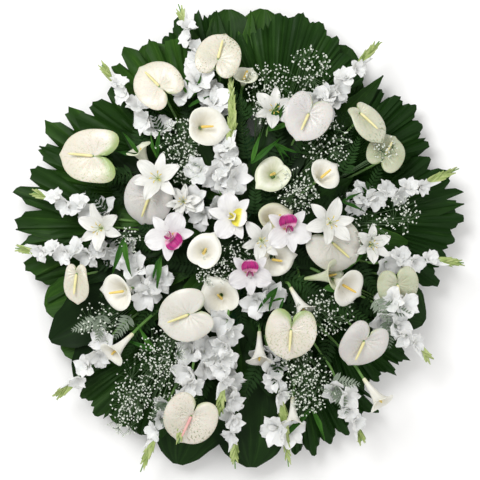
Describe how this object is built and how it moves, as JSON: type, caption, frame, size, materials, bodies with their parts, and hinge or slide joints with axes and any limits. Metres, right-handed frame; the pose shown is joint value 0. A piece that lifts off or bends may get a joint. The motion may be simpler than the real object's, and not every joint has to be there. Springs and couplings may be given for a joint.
{
  "type": "funeral wreath",
  "caption": "Round funeral wreath of white gladioli, anthuriums, callas, lilies and orchids on a collar of dark green leaves, held in floral foam with a hanging wire.",
  "frame": {"origin": "under the middle of the wreath, on the plane of the backs of its two battens", "axes": "+Z out of the front of the wreath, towards the viewer; +Y towards its top when it hangs; +X to the viewer's right"},
  "size_m": [1.1682, 1.1772, 0.2373],
  "materials": {
    "timber": "matte",
    "tray_plastic": "satin",
    "floral_foam": "matte",
    "steel": "satin",
    "dark_leaf": "satin",
    "split_leaf": "satin",
    "gladiolus_petal": "matte",
    "anthurium_spathe": "gloss",
    "calla_spathe": "satin",
    "orchid_petal": "satin",
    "lily_petal": "matte",
    "orchid_lip": "satin",
    "spadix": "matte",
    "green_stem": "satin",
    "green_bud": "satin",
    "gypsophila_bloom": "matte",
    "fine_foliage": "matte"
  },
  "bodies": {
    "root": {"fan_leaf_top": "dark_leaf", "fan_leaf_right": "dark_leaf", "broad_leaf_lower_right": "dark_leaf", "fan_leaf_bottom_right": "dark_leaf", "broad_leaf_bottom_left": "dark_leaf", "broad_leaf_lower_left": "dark_leaf", "split_leaf_low_left": "split_leaf", "split_leaf_high_left": "split_leaf", "split_leaf_upper_left": "split_leaf", "fan_leaf_upper_right": "dark_leaf", "fan_leaf_far_right": "dark_leaf", "fan_leaf_low_right": "dark_leaf", "broad_leaf_bottom": "dark_leaf", "fan_leaf_lower_left": "dark_leaf", "oval_leaf_left": "dark_leaf", "split_leaf_left": "split_leaf", "split_leaf_top_left": "split_leaf", "gladiolus_top": "gladiolus_petal", "gladiolus_upper_left": "gladiolus_petal", "gladiolus_high_left": "gladiolus_petal", "gladiolus_left": "gladiolus_petal", "gladiolus_lower_left": "gladiolus_petal", "gladiolus_bottom_left": "gladiolus_petal", "gladiolus_bottom": "gladiolus_petal", "gladiolus_bottom_right": "gladiolus_petal", "gladiolus_lower_right": "gladiolus_petal", "gladiolus_low_right": "gladiolus_petal", "gladiolus_right": "gladiolus_petal", "gladiolus_high_right": "gladiolus_petal", "gladiolus_upper_right": "gladiolus_petal", "anthurium_top": "anthurium_spathe", "anthurium_upper_left": "anthurium_spathe", "anthurium_left": "anthurium_spathe", "anthurium_lower_left": "anthurium_spathe", "anthurium_bottom_left": "anthurium_spathe", "anthurium_upper_right": "anthurium_spathe", "anthurium_lower_right": "anthurium_spathe", "anthurium_low": "anthurium_spathe", "calla_upper": "calla_spathe", "calla_right": "calla_spathe", "calla_left": "calla_spathe", "calla_center": "calla_spathe", "calla_lower_left": "calla_spathe", "calla_low_right": "calla_spathe", "calla_bottom_right": "calla_spathe", "orchid_left": "orchid_petal", "orchid_right": "orchid_petal", "orchid_low": "orchid_petal", "orchid_center": "orchid_petal", "lily_left": "lily_petal", "lily_right": "lily_petal", "batten_left": "timber", "batten_right": "timber", "foam_tray": "tray_plastic", "foam_disc": "floral_foam", "hanging_wire": "steel", "screw_upper_left": "steel", "screw_upper_right": "steel", "screw_lower_left": "steel", "screw_lower_right": "steel"}
  },
  "joints": []
}
